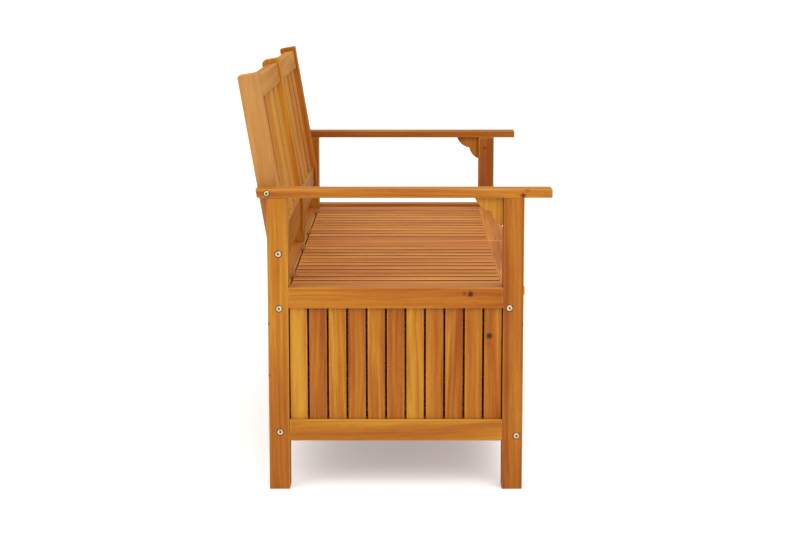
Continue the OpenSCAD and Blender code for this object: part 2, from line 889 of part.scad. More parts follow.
color(WOOD_PALE) both_ends() back_dowel_rods();  // back_dowels
color(WOOD_PALE) beam_dowel_rods();  // beam_dowels
color(WOOD_PALE) lid_dowel_rods();  // lid_dowels_left
color(WOOD_PALE) at_end("right") lid_dowel_rods();  // lid_dowels_right
color(ZINC) lid_screw_rods();  // lid_screws_left
color(ZINC) at_end("right") lid_screw_rods();  // lid_screws_right
color(ZINC) box_screw_rods();  // box_slat_screws
color(ZINC) floor_screw_rods();  // floor_screws
color(ZINC) stile_screw_rods();  // stile_screws
color(BRASS) hinge_screw_rods_fixed();  // hinge_screws_fixed
color(BRASS) hinge_screw_rods_moving();  // hinge_screws_moving_left
color(BRASS) at_end("right") hinge_screw_rods_moving();  // hinge_screws_moving_right
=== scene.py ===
"""Finished look of a two-seat slatted storage bench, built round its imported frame.

Every timber takes its shape from its frame node, with eased edges and grain that runs
along it. Metres throughout, in the frame's own axes: X along the bench, -Y to the front.
"""
from __future__ import annotations

import json
import logging
import math
import random
from dataclasses import dataclass
from enum import Enum
from typing import Any

import bmesh
import bpy
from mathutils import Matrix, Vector


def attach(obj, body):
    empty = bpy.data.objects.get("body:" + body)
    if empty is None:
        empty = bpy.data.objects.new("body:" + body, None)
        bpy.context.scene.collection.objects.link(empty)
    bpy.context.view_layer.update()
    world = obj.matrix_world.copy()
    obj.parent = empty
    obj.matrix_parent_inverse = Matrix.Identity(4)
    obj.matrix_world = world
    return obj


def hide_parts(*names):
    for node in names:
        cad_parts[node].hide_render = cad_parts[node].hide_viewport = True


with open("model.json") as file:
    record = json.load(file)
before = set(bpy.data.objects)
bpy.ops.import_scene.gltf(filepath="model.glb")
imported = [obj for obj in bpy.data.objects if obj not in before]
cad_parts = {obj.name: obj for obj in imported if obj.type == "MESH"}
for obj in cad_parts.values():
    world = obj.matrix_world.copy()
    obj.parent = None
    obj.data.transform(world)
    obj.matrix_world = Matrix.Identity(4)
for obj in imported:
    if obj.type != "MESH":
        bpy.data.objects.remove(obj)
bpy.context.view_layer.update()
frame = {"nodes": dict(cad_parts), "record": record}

LOG = logging.getLogger("storage_bench")
MM = 0.001

Colour = tuple[float, float, float]


class Side(Enum):
    """An end of the bench, or one of its two seats."""

    LEFT = "left"
    RIGHT = "right"


class Order(Enum):
    """The axis along which the boards of one node are counted."""

    X = 0
    Y = 1


# ---- what the frame says about a node ----


def body_of_node(node: str) -> str:
    """Finds the body that a frame node moves with.

    Args:
        node: name of the frame node.

    Returns:
        The body's name.
    """
    bodies = frame["record"]["behaviour"]["bodies"]
    return next(body for body, members in bodies.items() if node in members)


def slot_of_node(node: str) -> str:
    """Finds the material slot that the record gives a frame node.

    Args:
        node: name of the frame node.

    Returns:
        The slot's name.
    """
    return next(part["material_slot"] for part in frame["record"]["subparts"]
                if part["node"] == node)


# ---- shader graphs ----


class Graph:
    """Writes the nodes of one material."""

    def __init__(self, name: str) -> None:
        """Starts an empty material.

        Args:
            name: name of the material.
        """
        self.material = bpy.data.materials.new(name)
        self.material.use_nodes = True
        self.tree = self.material.node_tree
        self.tree.nodes.clear()

    def add(self, kind: str, inputs: dict[Any, Any] | None = None, **settings: Any) -> Any:
        """Adds a node.

        Args:
            kind: the node's type name.
            inputs: a value or an output socket for each named or numbered input.
            **settings: properties of the node.

        Returns:
            The node.
        """
        node = self.tree.nodes.new(kind)
        for key, value in settings.items():
            setattr(node, key, value)
        for key, value in (inputs or {}).items():
            if isinstance(value, bpy.types.NodeSocket):
                self.tree.links.new(value, node.inputs[key])
            else:
                node.inputs[key].default_value = value
        return node

    def math(self, operation: str, *values: Any, clamp: bool = False) -> Any:
        """Adds a Math node.

        Args:
            operation: the node's operation.
            *values: its inputs, as numbers or sockets.
            clamp: whether the result is held between 0 and 1.

        Returns:
            The result's socket.
        """
        node = self.add("ShaderNodeMath", dict(enumerate(values)), operation=operation,
                        use_clamp=clamp)
        return node.outputs[0]

    def vector(self, operation: str, *values: Any) -> Any:
        """Adds a Vector Math node.

        Args:
            operation: the node's operation.
            *values: its inputs, as vectors or sockets.

        Returns:
            The result's socket: a number for LENGTH, a vector otherwise.
        """
        node = self.add("ShaderNodeVectorMath", dict(enumerate(values)), operation=operation)
        return node.outputs["Value" if operation == "LENGTH" else "Vector"]

    def stretch(self, place: Any, scale: tuple[float, float, float]) -> Any:
        """Scales coordinates, so that a pattern is drawn out along the smallest scale."""
        return self.vector("MULTIPLY", place, scale)

    def noise(self, place: Any, detail: float, roughness: float = 0.5) -> Any:
        """Adds plain noise at unit scale.

        Args:
            place: socket of the coordinates.
            detail: octaves of finer noise.
            roughness: how strong the finer noise is.

        Returns:
            The noise's socket, from 0 to 1.
        """
        return self.add("ShaderNodeTexNoise",
                        {"Vector": place, "Scale": 1.0, "Detail": detail,
                         "Roughness": roughness}).outputs["Fac"]

    def remap(self, value: Any, low: float, high: float, to_low: float = 0.0,
              to_high: float = 1.0) -> Any:
        """Stretches a value's range smoothly.

        Args:
            value: socket of the value.
            low: the value that becomes to_low.
            high: the value that becomes to_high.
            to_low: lowest result.
            to_high: highest result.

        Returns:
            The result's socket.
        """
        return self.add("ShaderNodeMapRange",
                        {"Value": value, "From Min": low, "From Max": high,
                         "To Min": to_low, "To Max": to_high},
                        interpolation_type="SMOOTHSTEP").outputs["Result"]

    def ramp(self, value: Any, stops: tuple[tuple[float, Colour], ...]) -> Any:
        """Turns a value into a colour.

        Args:
            value: socket of the value.
            stops: the colour at each place from 0 to 1.

        Returns:
            The colour's socket.
        """
        node = self.add("ShaderNodeValToRGB", {"Fac": value})
        elements = node.color_ramp.elements
        while len(elements) < len(stops):
            elements.new(0.5)
        for element, (place, colour) in zip(elements, stops):
            element.position = place
            element.color = (*colour, 1.0)
        return node.outputs["Color"]

    def mix(self, share: Any, first: Any, second: Any) -> Any:
        """Mixes two colours.

        Args:
            share: how much of the second colour shows.
            first: first colour, as a tuple or a socket.
            second: second colour, as a tuple or a socket.

        Returns:
            The colour's socket.
        """
        first, second = ((*c, 1.0) if isinstance(c, tuple) else c for c in (first, second))
        return self.add("ShaderNodeMix", {0: share, 6: first, 7: second},
                        data_type="RGBA").outputs[2]

    def finish(self, inputs: dict[str, Any]) -> bpy.types.Material:
        """Adds the surface shader and the output.

        Args:
            inputs: the shader's inputs.

        Returns:
            The finished material.
        """
        shader = self.add("ShaderNodeBsdfPrincipled", inputs)
        self.add("ShaderNodeOutputMaterial", {"Surface": shader.outputs["BSDF"]})
        return self.material


@dataclass(frozen=True)
class Knot:
    """A knot in a board's face: its middle, its radius, and how dark it is."""

    place: tuple[float, float, float]
    radius: float
    depth: float = 1.0


@dataclass(frozen=True)
class WoodFinish:
    """Oiled hardwood, from dark heartwood to golden sapwood, with pores, and worn edges whose
    paler colour is partly a painted highlight.

    A pitch below gives a pattern's steps per metre along, aside and across the grain.
    """

    WANDER_PITCH = (3.0, 14.0, 14.0)
    WANDER_REACH = (0.0, 20.0 * MM, 20.0 * MM)
    STREAK_PITCH = (3.5, 110.0, 110.0)
    BAND_PITCH = (2.4, 30.0, 30.0)
    RING_PITCH = (0.10, 1.0, 1.0)
    FIBRE_PITCH = (22.0, 620.0, 620.0)
    PORE_PITCH = (55.0, 1500.0, 1500.0)
    PORE_RANGE = (0.62, 0.74)
    PORE_SHARE = 0.34
    PORE_DARKNESS = 0.42
    CUT_END_SHARE = 0.42
    CUT_END_ROUGHNESS = 0.18
    FIBRE_ROUGHNESS = 0.22
    WEAR_AND_HIGHLIGHT_RANGE = (0.30, 0.65)
    STRIP_WIDTH = 5.0 * MM
    STRIP_WANDER = 6.0 * MM
    STRIP_SHARE = 0.55
    STRIP_DARKNESS = 0.72
    KNOT_PUSH = 6.0 * MM
    KNOT_RAGGED_PITCH = (210.0, 210.0, 210.0)
    KNOT_RAGGED = 0.7
    KNOT_CORE = 0.3
    KNOT_HALO = 2.3
    KNOT_DARKNESS = 0.18
    RELIEF_DEPTH = 0.35 * MM
    RELIEF_STRENGTH = 0.28

    name: str
    heart: Colour = (0.285, 0.066, 0.009)
    middle: Colour = (0.425, 0.148, 0.014)
    gold: Colour = (0.560, 0.268, 0.026)
    ring_spacing: float = 9.0 * MM
    streak: float = 0.9
    band: float = 1.15
    ring: float = 0.20
    fibre: float = 0.50
    roughness: float = 0.52
    sheen: float = 0.12
    # Strength and colour of the shade painted into the gaps between boards.
    gap_shade_strength: float = 0.92
    gap_shade_colour: Colour = (0.300, 0.036, 0.003)
    # Colour and strength of the paler eased edges: partly wear, partly a painted highlight.
    worn_and_highlit: Colour = (0.675, 0.336, 0.055)
    wear_and_highlight: tuple[float, float] = (0.12, 0.50)
    dark_front: float | None = None
    knots: tuple[Knot, ...] = ()

    def material(self) -> bpy.types.Material:
        """Writes the material. It reads the grain, tone and edge attributes of a timber, and the
        shade painted into the gaps between its boards.

        Returns:
            The finished material.
        """
        g = Graph(self.name)
        tone, eased, painted_gap_shade, cut_end = (
            g.add("ShaderNodeAttribute", attribute_name=name).outputs["Fac"]
            for name in ("tone", "eased", "painted_gap_shade", "cut_end"))
        knot = self._knots(g)
        flow = self._flow(g, knot)
        bands = g.noise(g.stretch(flow, self.BAND_PITCH), 2.0, 0.5)
        fibres = g.noise(g.stretch(flow, self.FIBRE_PITCH), 3.0, 0.6)
        pores = g.remap(g.noise(g.stretch(flow, self.PORE_PITCH), 1.0), *self.PORE_RANGE)

        shade = self._shade(g, flow, bands, fibres, tone)
        colour = g.ramp(shade, ((0.0, self.heart), (0.5, self.middle), (1.0, self.gold)))
        colour = g.mix(g.math("MULTIPLY", pores, self.PORE_SHARE), colour,
                       self._darker(self.PORE_DARKNESS))
        colour = g.mix(g.math("MULTIPLY", cut_end, self.CUT_END_SHARE), colour, self.heart)
        # Painted shade: the sides of boards that face the next board are darkened, as if in
        # shadow.
        colour = g.mix(g.math("MULTIPLY", painted_gap_shade, self.gap_shade_strength), colour, self.gap_shade_colour)
        if self.dark_front is not None:
            colour = g.mix(self._front_strip(g, bands), colour,
                           self._darker(self.STRIP_DARKNESS))
        # Eased edges turn paler: partly real wear, partly a painted highlight where they catch
        # the light.
        wear_and_highlight = g.math("MULTIPLY", eased, g.remap(bands, *self.WEAR_AND_HIGHLIGHT_RANGE, *self.wear_and_highlight))
        colour = g.mix(wear_and_highlight, colour, self.worn_and_highlit)
        if knot is not None:
            colour = g.mix(g.remap(knot, 0.05, 0.55, 0.0, 0.55), colour, self.heart)
            colour = g.mix(g.remap(knot, 0.55, 0.9, 0.0, 0.9), colour,
                           self._darker(self.KNOT_DARKNESS))

        relief = g.math("SUBTRACT", g.math("MULTIPLY", fibres, 0.7),
                        g.math("MULTIPLY", pores, 0.5))
        bump = g.add("ShaderNodeBump", {"Height": relief, "Strength": self.RELIEF_STRENGTH,
                                        "Distance": self.RELIEF_DEPTH}).outputs["Normal"]
        rough = g.math("ADD", g.math("MULTIPLY", g.math("SUBTRACT", fibres, 0.5),
                                     self.FIBRE_ROUGHNESS),
                       g.math("MULTIPLY_ADD", cut_end, self.CUT_END_ROUGHNESS,
                              self.roughness), clamp=True)
        return g.finish({"Base Color": colour, "Roughness": rough, "Normal": bump,
                         "Specular IOR Level": self.sheen})

    def _darker(self, share: float) -> Colour:
        """Gives a darker heartwood colour, as a share of the plain one."""
        red, green, blue = self.heart
        return share * red, share * green, share * blue

    def _flow(self, g: Graph, knot: Any) -> Any:
        """Makes the grain's coordinates wander, and bend round knots.

        Args:
            g: the graph.
            knot: the knots' socket, or None.

        Returns:
            The coordinates' socket.
        """
        grain = g.add("ShaderNodeAttribute", attribute_name="grain").outputs["Vector"]
        clouds = g.add("ShaderNodeTexNoise",
                       {"Vector": g.stretch(grain, self.WANDER_PITCH), "Scale": 1.0,
                        "Detail": 2.0}).outputs["Color"]
        wander = g.vector("SUBTRACT", clouds, (0.5, 0.5, 0.5))
        flow = g.vector("ADD", grain, g.stretch(wander, self.WANDER_REACH))
        if knot is None:
            return flow
        push = g.math("MULTIPLY", knot, self.KNOT_PUSH)
        return g.vector("ADD", flow, g.add("ShaderNodeCombineXYZ",
                                           {"Y": push, "Z": push}).outputs["Vector"])

    def _shade(self, g: Graph, flow: Any, bands: Any, fibres: Any, tone: Any) -> Any:
        """Adds streaks, bands, rings and fibres to a board's tone.

        Args:
            g: the graph.
            flow: socket of the coordinates.
            bands: socket of the wide bands.
            fibres: socket of the fibres.
            tone: socket of the board's tone.

        Returns:
            A socket that is 0 at the darkest wood and 1 at the palest.
        """
        streaks = g.noise(g.stretch(flow, self.STREAK_PITCH), 4.0, 0.6)
        rings = g.add("ShaderNodeTexWave",
                      {"Vector": g.stretch(flow, self.RING_PITCH),
                       "Scale": math.tau / (20.0 * self.ring_spacing), "Distortion": 5.0,
                       "Detail": 2.0, "Detail Scale": 0.5, "Detail Roughness": 0.6},
                      wave_type="RINGS", rings_direction="X",
                      wave_profile="SAW").outputs["Fac"]
        shade = tone
        for pattern, strength in ((streaks, self.streak), (bands, self.band),
                                  (rings, -self.ring), (fibres, self.fibre)):
            shade = g.math("MULTIPLY_ADD", g.math("SUBTRACT", pattern, 0.5), strength, shade)
        return shade

    def _front_strip(self, g: Graph, bands: Any) -> Any:
        """Finds the dark strip along the front edge of a leg.

        Args:
            g: the graph.
            bands: socket of the wide bands, which make the strip's edge wander.

        Returns:
            The strip's socket, as the share of dark wood.
        """
        place = g.add("ShaderNodeTexCoord").outputs["Object"]
        front = g.add("ShaderNodeSeparateXYZ", {"Vector": place}).outputs["Y"]
        front = g.math("MULTIPLY_ADD", g.math("SUBTRACT", bands, 0.5), self.STRIP_WANDER,
                       front)
        return g.remap(front, self.dark_front, self.dark_front + self.STRIP_WIDTH,
                       self.STRIP_SHARE, 0.0)

    def _knots(self, g: Graph) -> Any:
        """Adds the knots of this finish.

        Args:
            g: the graph they go in.

        Returns:
            A socket that is 1 at a knot's heart and 0 away from it, or None without knots.
        """
        if not self.knots:
            return None
        place = g.add("ShaderNodeTexCoord").outputs["Object"]
        ragged = g.noise(g.stretch(place, self.KNOT_RAGGED_PITCH), 2.0)
        total: Any = 0.0
        for knot in self.knots:
            away = g.vector("LENGTH", g.vector("SUBTRACT", place, knot.place))
            away = g.math("MULTIPLY_ADD", g.math("SUBTRACT", ragged, 0.5),
                          self.KNOT_RAGGED * knot.radius, away)
            near = g.remap(away, self.KNOT_CORE * knot.radius, self.KNOT_HALO * knot.radius,
                           knot.depth, 0.0)
            total = g.math("MAXIMUM", total, near)
        return total


@dataclass(frozen=True)
class BeechFinish:
    """Plain turned beech, as on dowels."""

    FLECK_PITCH = (300.0, 1100.0, 1100.0)

    name: str
    dark: Colour = (0.50, 0.30, 0.14)
    pale: Colour = (0.68, 0.46, 0.25)

    def material(self) -> bpy.types.Material:
        """Writes the material, with the fine flecks of beech.

        Returns:
            The finished material.
        """
        g = Graph(self.name)
        place = g.add("ShaderNodeTexCoord").outputs["Object"]
        flecks = g.noise(g.stretch(place, self.FLECK_PITCH), 3.0, 0.6)
        colour = g.ramp(flecks, ((0.3, self.dark), (0.7, self.pale)))
        bump = g.add("ShaderNodeBump", {"Height": flecks, "Strength": 0.2,
                                        "Distance": 0.2 * MM}).outputs["Normal"]
        return g.finish({"Base Color": colour, "Roughness": g.remap(flecks, 0.2, 0.8, 0.5, 0.7),
                         "Normal": bump})


@dataclass(frozen=True)
class MetalFinish:
    """Plated or solid metal, with fine brush marks and a little tarnish."""

    CLOUD_PITCH = (160.0, 160.0, 160.0)
    BRUSH_PITCH = (700.0, 700.0, 4200.0)
    TARNISH_RANGE = (0.42, 0.72)
    # How far painted shade darkens bolt sockets and head rims.
    TARNISH_SHARE = 0.75
    PAINTED_SHADE_SHARE = 0.92

    name: str
    bright: Colour
    tarnish: Colour
    roughness: float = 0.34
    metallic: float = 1.0
    # Near-black colour of the shade painted into bolt sockets and onto head rims.
    painted_shade: Colour = (0.03, 0.018, 0.008)

    def material(self) -> bpy.types.Material:
        """Writes the material. It reads the attribute of a fitting that paints shade into bolt
        sockets and onto head rims.

        Returns:
            The finished material.
        """
        g = Graph(self.name)
        place = g.add("ShaderNodeTexCoord").outputs["Object"]
        clouds = g.noise(g.stretch(place, self.CLOUD_PITCH), 4.0, 0.6)
        brushed = g.noise(g.stretch(place, self.BRUSH_PITCH), 2.0)
        bolt_shade_mask = g.add("ShaderNodeAttribute", attribute_name="painted_shade").outputs["Fac"]
        dull = g.remap(clouds, *self.TARNISH_RANGE, 0.0, self.TARNISH_SHARE)
        colour = g.mix(dull, self.bright, self.tarnish)
        # Painted shade: bolt sockets and head rims are darkened.
        colour = g.mix(g.math("MULTIPLY", bolt_shade_mask, self.PAINTED_SHADE_SHARE), colour, self.painted_shade)
        rough = g.math("MULTIPLY_ADD", g.math("SUBTRACT", clouds, 0.5), 0.3, self.roughness)
        bump = g.add("ShaderNodeBump", {"Height": brushed, "Strength": 0.15,
                                        "Distance": 0.08 * MM}).outputs["Normal"]
        return g.finish({"Base Color": colour, "Metallic": self.metallic,
                         "Specular IOR Level": 0.1, "Roughness": rough, "Normal": bump})


@dataclass(frozen=True)
class StudioFloorFinish:
    """Plain pale studio floor, which glows for the camera alone, so that the shadows it shows
    are painted paler.
    """

    CLOUD_PITCH = (0.8, 0.8, 0.8)

    name: str = "studio_floor"
    dull: Colour = (0.93, 0.93, 0.93)
    bright: Colour = (0.95, 0.95, 0.95)
    shadow_lift: float = 0.30

    def material(self) -> bpy.types.Material:
        """Writes the material, with a very faint unevenness.

        Returns:
            The finished material.
        """
        g = Graph(self.name)
        place = g.add("ShaderNodeTexCoord").outputs["Object"]
        faint = g.noise(g.stretch(place, self.CLOUD_PITCH), 2.0)
        colour = g.ramp(faint, ((0.3, self.dull), (0.7, self.bright)))
        # Painted light: the floor glows only for the camera, which pales the shadows on it.
        seen = g.add("ShaderNodeLightPath").outputs["Is Camera Ray"]
        return g.finish({"Base Color": colour, "Roughness": 0.9, "Specular IOR Level": 0.1,
                         "Emission Color": (1.0, 1.0, 1.0, 1.0),
                         "Emission Strength": g.math("MULTIPLY", seen, self.shadow_lift)})


# ---- timber ----


def loose_parts(bm: bmesh.types.BMesh, order: Order) -> list[list[bmesh.types.BMVert]]:
    """Splits a mesh into its separate parts.

    Args:
        bm: the mesh.
        order: the axis along which the parts are counted.

    Returns:
        The vertices of each part, in the order of their places along the axis.
    """
    waiting = dict.fromkeys(bm.verts)
    parts = []
    while waiting:
        start = next(iter(waiting))
        del waiting[start]
        part, front = [start], [start]
        while front:
            near = [e.other_vert(v) for v in front for e in v.link_edges]
            front = []
            for v in near:
                if v in waiting:
                    del waiting[v]
                    front.append(v)
            part += front
        parts.append(part)
    axis = order.value
    return sorted(parts, key=lambda part: round(sum(v.co[axis] for v in part) / len(part), 4))


def joined_copy(node: str) -> bmesh.types.BMesh:
    """Copies a node's loose triangles, joins them and makes its flat faces whole.

    Args:
        node: name of the frame node.

    Returns:
        The new mesh.
    """
    bm = bmesh.new()
    bm.from_mesh(frame["nodes"][node].data)
    for layers in (bm.loops.layers.uv, bm.loops.layers.color):
        for layer in list(layers.values()):
            layers.remove(layer)
    bmesh.ops.remove_doubles(bm, verts=bm.verts[:], dist=0.004 * MM)
    bmesh.ops.dissolve_limit(bm, angle_limit=math.radians(0.4), verts=bm.verts[:],
                             edges=bm.edges[:])
    bm.edges.index_update()
    return bm


@dataclass
class Timber:
    """The boards of one frame node, each with eased edges and its own grain and tone."""

    node: str
    material: bpy.types.Material
    ease: float = 1.6 * MM
    order: Order = Order.X
    tones: tuple[float, ...] = ()
    tone_range: tuple[float, float] = (0.35, 0.65)
    drift: float = 0.0

    SHARP = math.radians(32)     # edges that bend more than this are eased
    WIDE_FACE = 3e-4             # faces smaller than this, in square metres, are smooth
    FACING = 0.8                 # how squarely an end or a side faces along an axis
    RUN_SHIFT = 9.0              # how far a board's grain is moved along its pattern
    HEART_SHIFT = (0.02, 0.09)   # distance from the middle of the growth rings
    SIDE_SHIFT = 0.04            # the same, across it
    TILT = 0.035                 # slope of the grain against the board

    def build(self) -> bpy.types.Object:
        """Makes the piece, hides the node it stands for and sets it on its body.

        Returns:
            The finished piece.
        """
        bm = joined_copy(self.node)
        self._ease_edges(bm)
        self._lay_grain(bm)
        mesh = bpy.data.meshes.new(f"{self.node}_timber")
        bm.to_mesh(mesh)
        bm.free()
        mesh.materials.append(self.material)
        return place_piece(bpy.data.objects.new(f"{self.node}_timber", mesh), self.node)

    def _ease_edges(self, bm: bmesh.types.BMesh) -> None:
        """Rounds the outer edges of each board, and marks the rounded faces.

        Args:
            bm: the mesh of the boards.
        """
        eased = bm.faces.layers.float.new("eased")
        sharp = {e for e in bm.edges if len(e.link_faces) == 2 and e.is_convex
                 and e.calc_face_angle(0.0) > self.SHARP}
        chosen = {max((e for v in board for e in v.link_edges if e in sharp),
                      key=lambda e: (round(e.calc_length(), 4), -e.index))
                  for board in loose_parts(bm, self.order)}
        front = set(chosen)
        while front:
            front = {e for start in front for v in start.verts for e in v.link_edges
                     if e in sharp and e not in chosen}
            chosen |= front
        edges = [e for e in bm.edges if e in chosen]
        made = bmesh.ops.bevel(bm, geom=edges, offset=self.ease, offset_type="OFFSET",
                               segments=2, profile=0.5, affect="EDGES", material=-1,
                               clamp_overlap=True)
        for face in bm.faces:
            face.smooth = face.calc_area() < self.WIDE_FACE
        for face in made["faces"]:
            face.smooth = True
            face[eased] = 1.0

    def _lay_grain(self, bm: bmesh.types.BMesh) -> None:
        """Gives each board its grain's coordinates, its tone, its cut ends, and the shade
        painted on its sides that face the next board.

        Args:
            bm: the mesh of the boards.
        """
        grain = bm.verts.layers.float_vector.new("grain")
        tone = bm.verts.layers.float.new("tone")
        cut_end = bm.faces.layers.float.new("cut_end")
        painted_gap_shade = bm.faces.layers.float.new("painted_gap_shade")
        eased = bm.faces.layers.float["eased"]
        draw = random.Random(self.node)
        bm.edges.index_update()
        boards = loose_parts(bm, self.order)
        for index, verts in enumerate(boards):
            along = self._long_way(verts)
            aside = along.orthogonal().normalized()
            if abs(along.x) < 0.9:
                aside = Vector((1, 0, 0)).cross(along).normalized()
            across = along.cross(aside)
            middle = sum((v.co for v in verts), Vector()) / len(verts)
            shift = Vector((draw.uniform(0, self.RUN_SHIFT),
                            draw.choice((-1, 1)) * draw.uniform(*self.HEART_SHIFT),
                            draw.uniform(-self.SIDE_SHIFT, self.SIDE_SHIFT)))
            tilt = draw.uniform(-self.TILT, self.TILT)
            drawn = draw.uniform(*self.tone_range)
            board_tone = self.tones[index % len(self.tones)] if self.tones else drawn
            for v in verts:
                p = v.co - middle
                run = p.dot(along)
                v[grain] = Vector((run, p.dot(aside) + tilt * run, p.dot(across))) + shift
                v[tone] = board_tone + self.drift * run
            for face in {f for v in verts for f in v.link_faces}:
                face[cut_end] = float(abs(face.normal.dot(along)) > self.FACING)
                # Painted shade goes on the sides that face the next board.
                if len(boards) > 2 and not face[eased]:
                    face[painted_gap_shade] = float(abs(face.normal[self.order.value]) > self.FACING)

    @staticmethod
    def _long_way(verts: list[bmesh.types.BMVert]) -> Vector:
        """Finds the direction of a board's longest edge, which its grain follows.

        Args:
            verts: the board's vertices.

        Returns:
            The direction, of length 1, with its largest part positive.
        """
        edges = {e for v in verts for e in v.link_edges if e.calc_face_angle(0.0) > 0.1}
        longest = max(edges, key=lambda e: (round(e.calc_length(), 4), -e.index))
        way = (longest.verts[1].co - longest.verts[0].co).normalized()
        lead = max(range(3), key=lambda i: abs(way[i]))
        return way if way[lead] > 0 else -way


def place_piece(piece: bpy.types.Object, node: str) -> bpy.types.Object:
    """Puts a piece in the scene in place of a frame node.

    Args:
        piece: the new piece, made in the frame's axes.
        node: the node that it stands for.

    Returns:
        The piece.
    """
    bpy.context.scene.collection.objects.link(piece)
    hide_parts(node)
    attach(piece, body_of_node(node))
    LOG.info("%s: %d faces", piece.name, len(piece.data.polygons))
    return piece


# ---- fittings ----


@dataclass
class Fitting:
    """Metal parts of one frame node, with their sharp rims broken."""

    node: str
    material: bpy.types.Material
    rim: float = 0.25 * MM
    head_rim: float = 0.0
    head_radius: float = 5.0 * MM
    socket_radius: float = 2.85 * MM

    RIM_ANGLE = math.radians(50)
    # How much shade is painted into a bolt head's socket and onto its rim.
    SOCKET_SHADE = 0.9
    RIM_SHADE = 0.45
    FLAT_FACING = 0.98

    def build(self) -> bpy.types.Object:
        """Makes the piece from a joined copy of its node.

        Returns:
            The finished piece.
        """
        bm = joined_copy(self.node)
        if self.head_rim:
            self._round_rims(bm, self.head_rim, 3, self.head_radius)
        self._round_rims(bm, self.rim, 2, 0.0)
        for face in bm.faces:
            face.smooth = len(face.verts) <= 4
        self._paint_bolt_shade(bm)
        mesh = bpy.data.meshes.new(f"{self.node}_fitting")
        bm.to_mesh(mesh)
        bm.free()
        mesh.materials.append(self.material)
        return place_piece(bpy.data.objects.new(f"{self.node}_fitting", mesh), self.node)

    def _round_rims(self, bm: bmesh.types.BMesh, offset: float, segments: int,
                    from_radius: float) -> None:
        """Rounds the rims that lie at least a given distance from their part's axis.

        Args:
            bm: the mesh.
            offset: width of the rounding.
            segments: faces across it.
            from_radius: distance from the axis, which runs along X.
        """
        rims = []
        for part in loose_parts(bm, Order.X):
            middle = sum((v.co for v in part), Vector()) / len(part)
            for edge in {e for v in part for e in v.link_edges}:
                away = (edge.verts[0].co - middle).yz.length
                if (edge.is_convex and edge.calc_face_angle(0.0) > self.RIM_ANGLE
                        and away >= from_radius):
                    rims.append(edge)
        bm.edges.index_update()
        rims.sort(key=lambda e: e.index)
        bmesh.ops.bevel(bm, geom=rims, offset=offset, offset_type="OFFSET",
                        segments=segments, profile=0.5, affect="EDGES", material=-1,
                        clamp_overlap=True)

    def _paint_bolt_shade(self, bm: bmesh.types.BMesh) -> None:
        """Paints shade into the sockets of bolt heads, and more faintly onto the heads' rims.

        Args:
            bm: the mesh of the fittings.
        """
        painted_shade = bm.faces.layers.float.new("painted_shade")
        if not self.head_rim:
            return
        for part in loose_parts(bm, Order.X):
            middle = sum((v.co for v in part), Vector()) / len(part)
            for face in {f for v in part for f in v.link_faces}:
                away = [(v.co - middle).yz.length for v in face.verts]
                if max(away) < self.socket_radius:
                    face[painted_shade] = self.SOCKET_SHADE
                elif (min(away) > self.head_radius
                        and abs(face.normal.x) < self.FLAT_FACING):
                    face[painted_shade] = self.RIM_SHADE


def dress_node(node: str, material: bpy.types.Material) -> None:
    """Gives a frame node that stays as it is its finish.

    Args:
        node: name of the frame node.
        material: its finish.
    """
    mesh = frame["nodes"][node].data
    mesh.materials.clear()
    mesh.materials.append(material)
    LOG.info("%s: kept from the frame, %s", node, material.name)


# ---- sub-assemblies ----


@dataclass
class BoxEnd:
    """One end of the box: two legs, two rails and the upright slats between them."""

    SLAT_KNOTS = (Knot((-0.591, -0.1895, 0.3155), 5.4 * MM),
                  Knot((-0.591, -0.1895, 0.300), 3.6 * MM, 0.6))
    RAIL_KNOTS = (Knot((-0.598, -0.151, 0.402), 5.2 * MM),
                  Knot((-0.598, -0.139, 0.403), 3.2 * MM, 0.8))
    LEG_KNOTS = (Knot((0.557, -0.2305, 0.567), 3.5 * MM, 0.8),
                 Knot((-0.598, -0.257, 0.34), 2.4 * MM, 0.9),
                 Knot((-0.598, 0.2525, 0.342), 2.4 * MM, 0.9),
                 Knot((-0.598, 0.2525, 0.236), 2.2 * MM, 0.8))
    LEG_DARK_FRONT = -0.2545

    side: Side
    leg_ease: float = 1.8 * MM
    slat_ease: float = 1.1 * MM
    # Painted shade: the legs at the right end get a darker tone.
    right_leg_painted_shade: float = -0.18
    slat_tones: tuple[float, ...] = (0.33, 0.53, 0.36, 0.43, 0.74, 0.08, 0.44, 0.33,
                                     0.42, 0.18, 0.69)

    def build(self) -> None:
        """Builds the end's timbers."""
        side = self.side.value
        left = self.side is Side.LEFT
        # The right end's legs are painted darker, standing in for shade.
        shade = 0.0 if left else self.right_leg_painted_shade
        legs = WoodFinish(f"leg_wood_{side}", dark_front=self.LEG_DARK_FRONT,
                          knots=self.LEG_KNOTS).material()
        rails = WoodFinish(f"side_rail_wood_{side}",
                           knots=self.RAIL_KNOTS if left else ()).material()
        slats = WoodFinish(f"side_slat_wood_{side}", streak=1.25, band=1.5,
                           knots=self.SLAT_KNOTS if left else ()).material()
        Timber(f"front_leg_{side}", legs, self.leg_ease, tones=(0.20 + shade,),
               drift=0.2).build()
        Timber(f"rear_leg_{side}", legs, self.leg_ease, tones=(0.44 + shade,),
               drift=0.7).build()
        Timber(f"upper_side_rail_{side}", rails, self.leg_ease, tones=(0.37,), drift=0.3).build()
        Timber(f"lower_side_rail_{side}", rails, self.leg_ease, tones=(0.53,)).build()
        Timber(f"side_slats_{side}", slats, self.slat_ease, Order.Y, self.slat_tones).build()


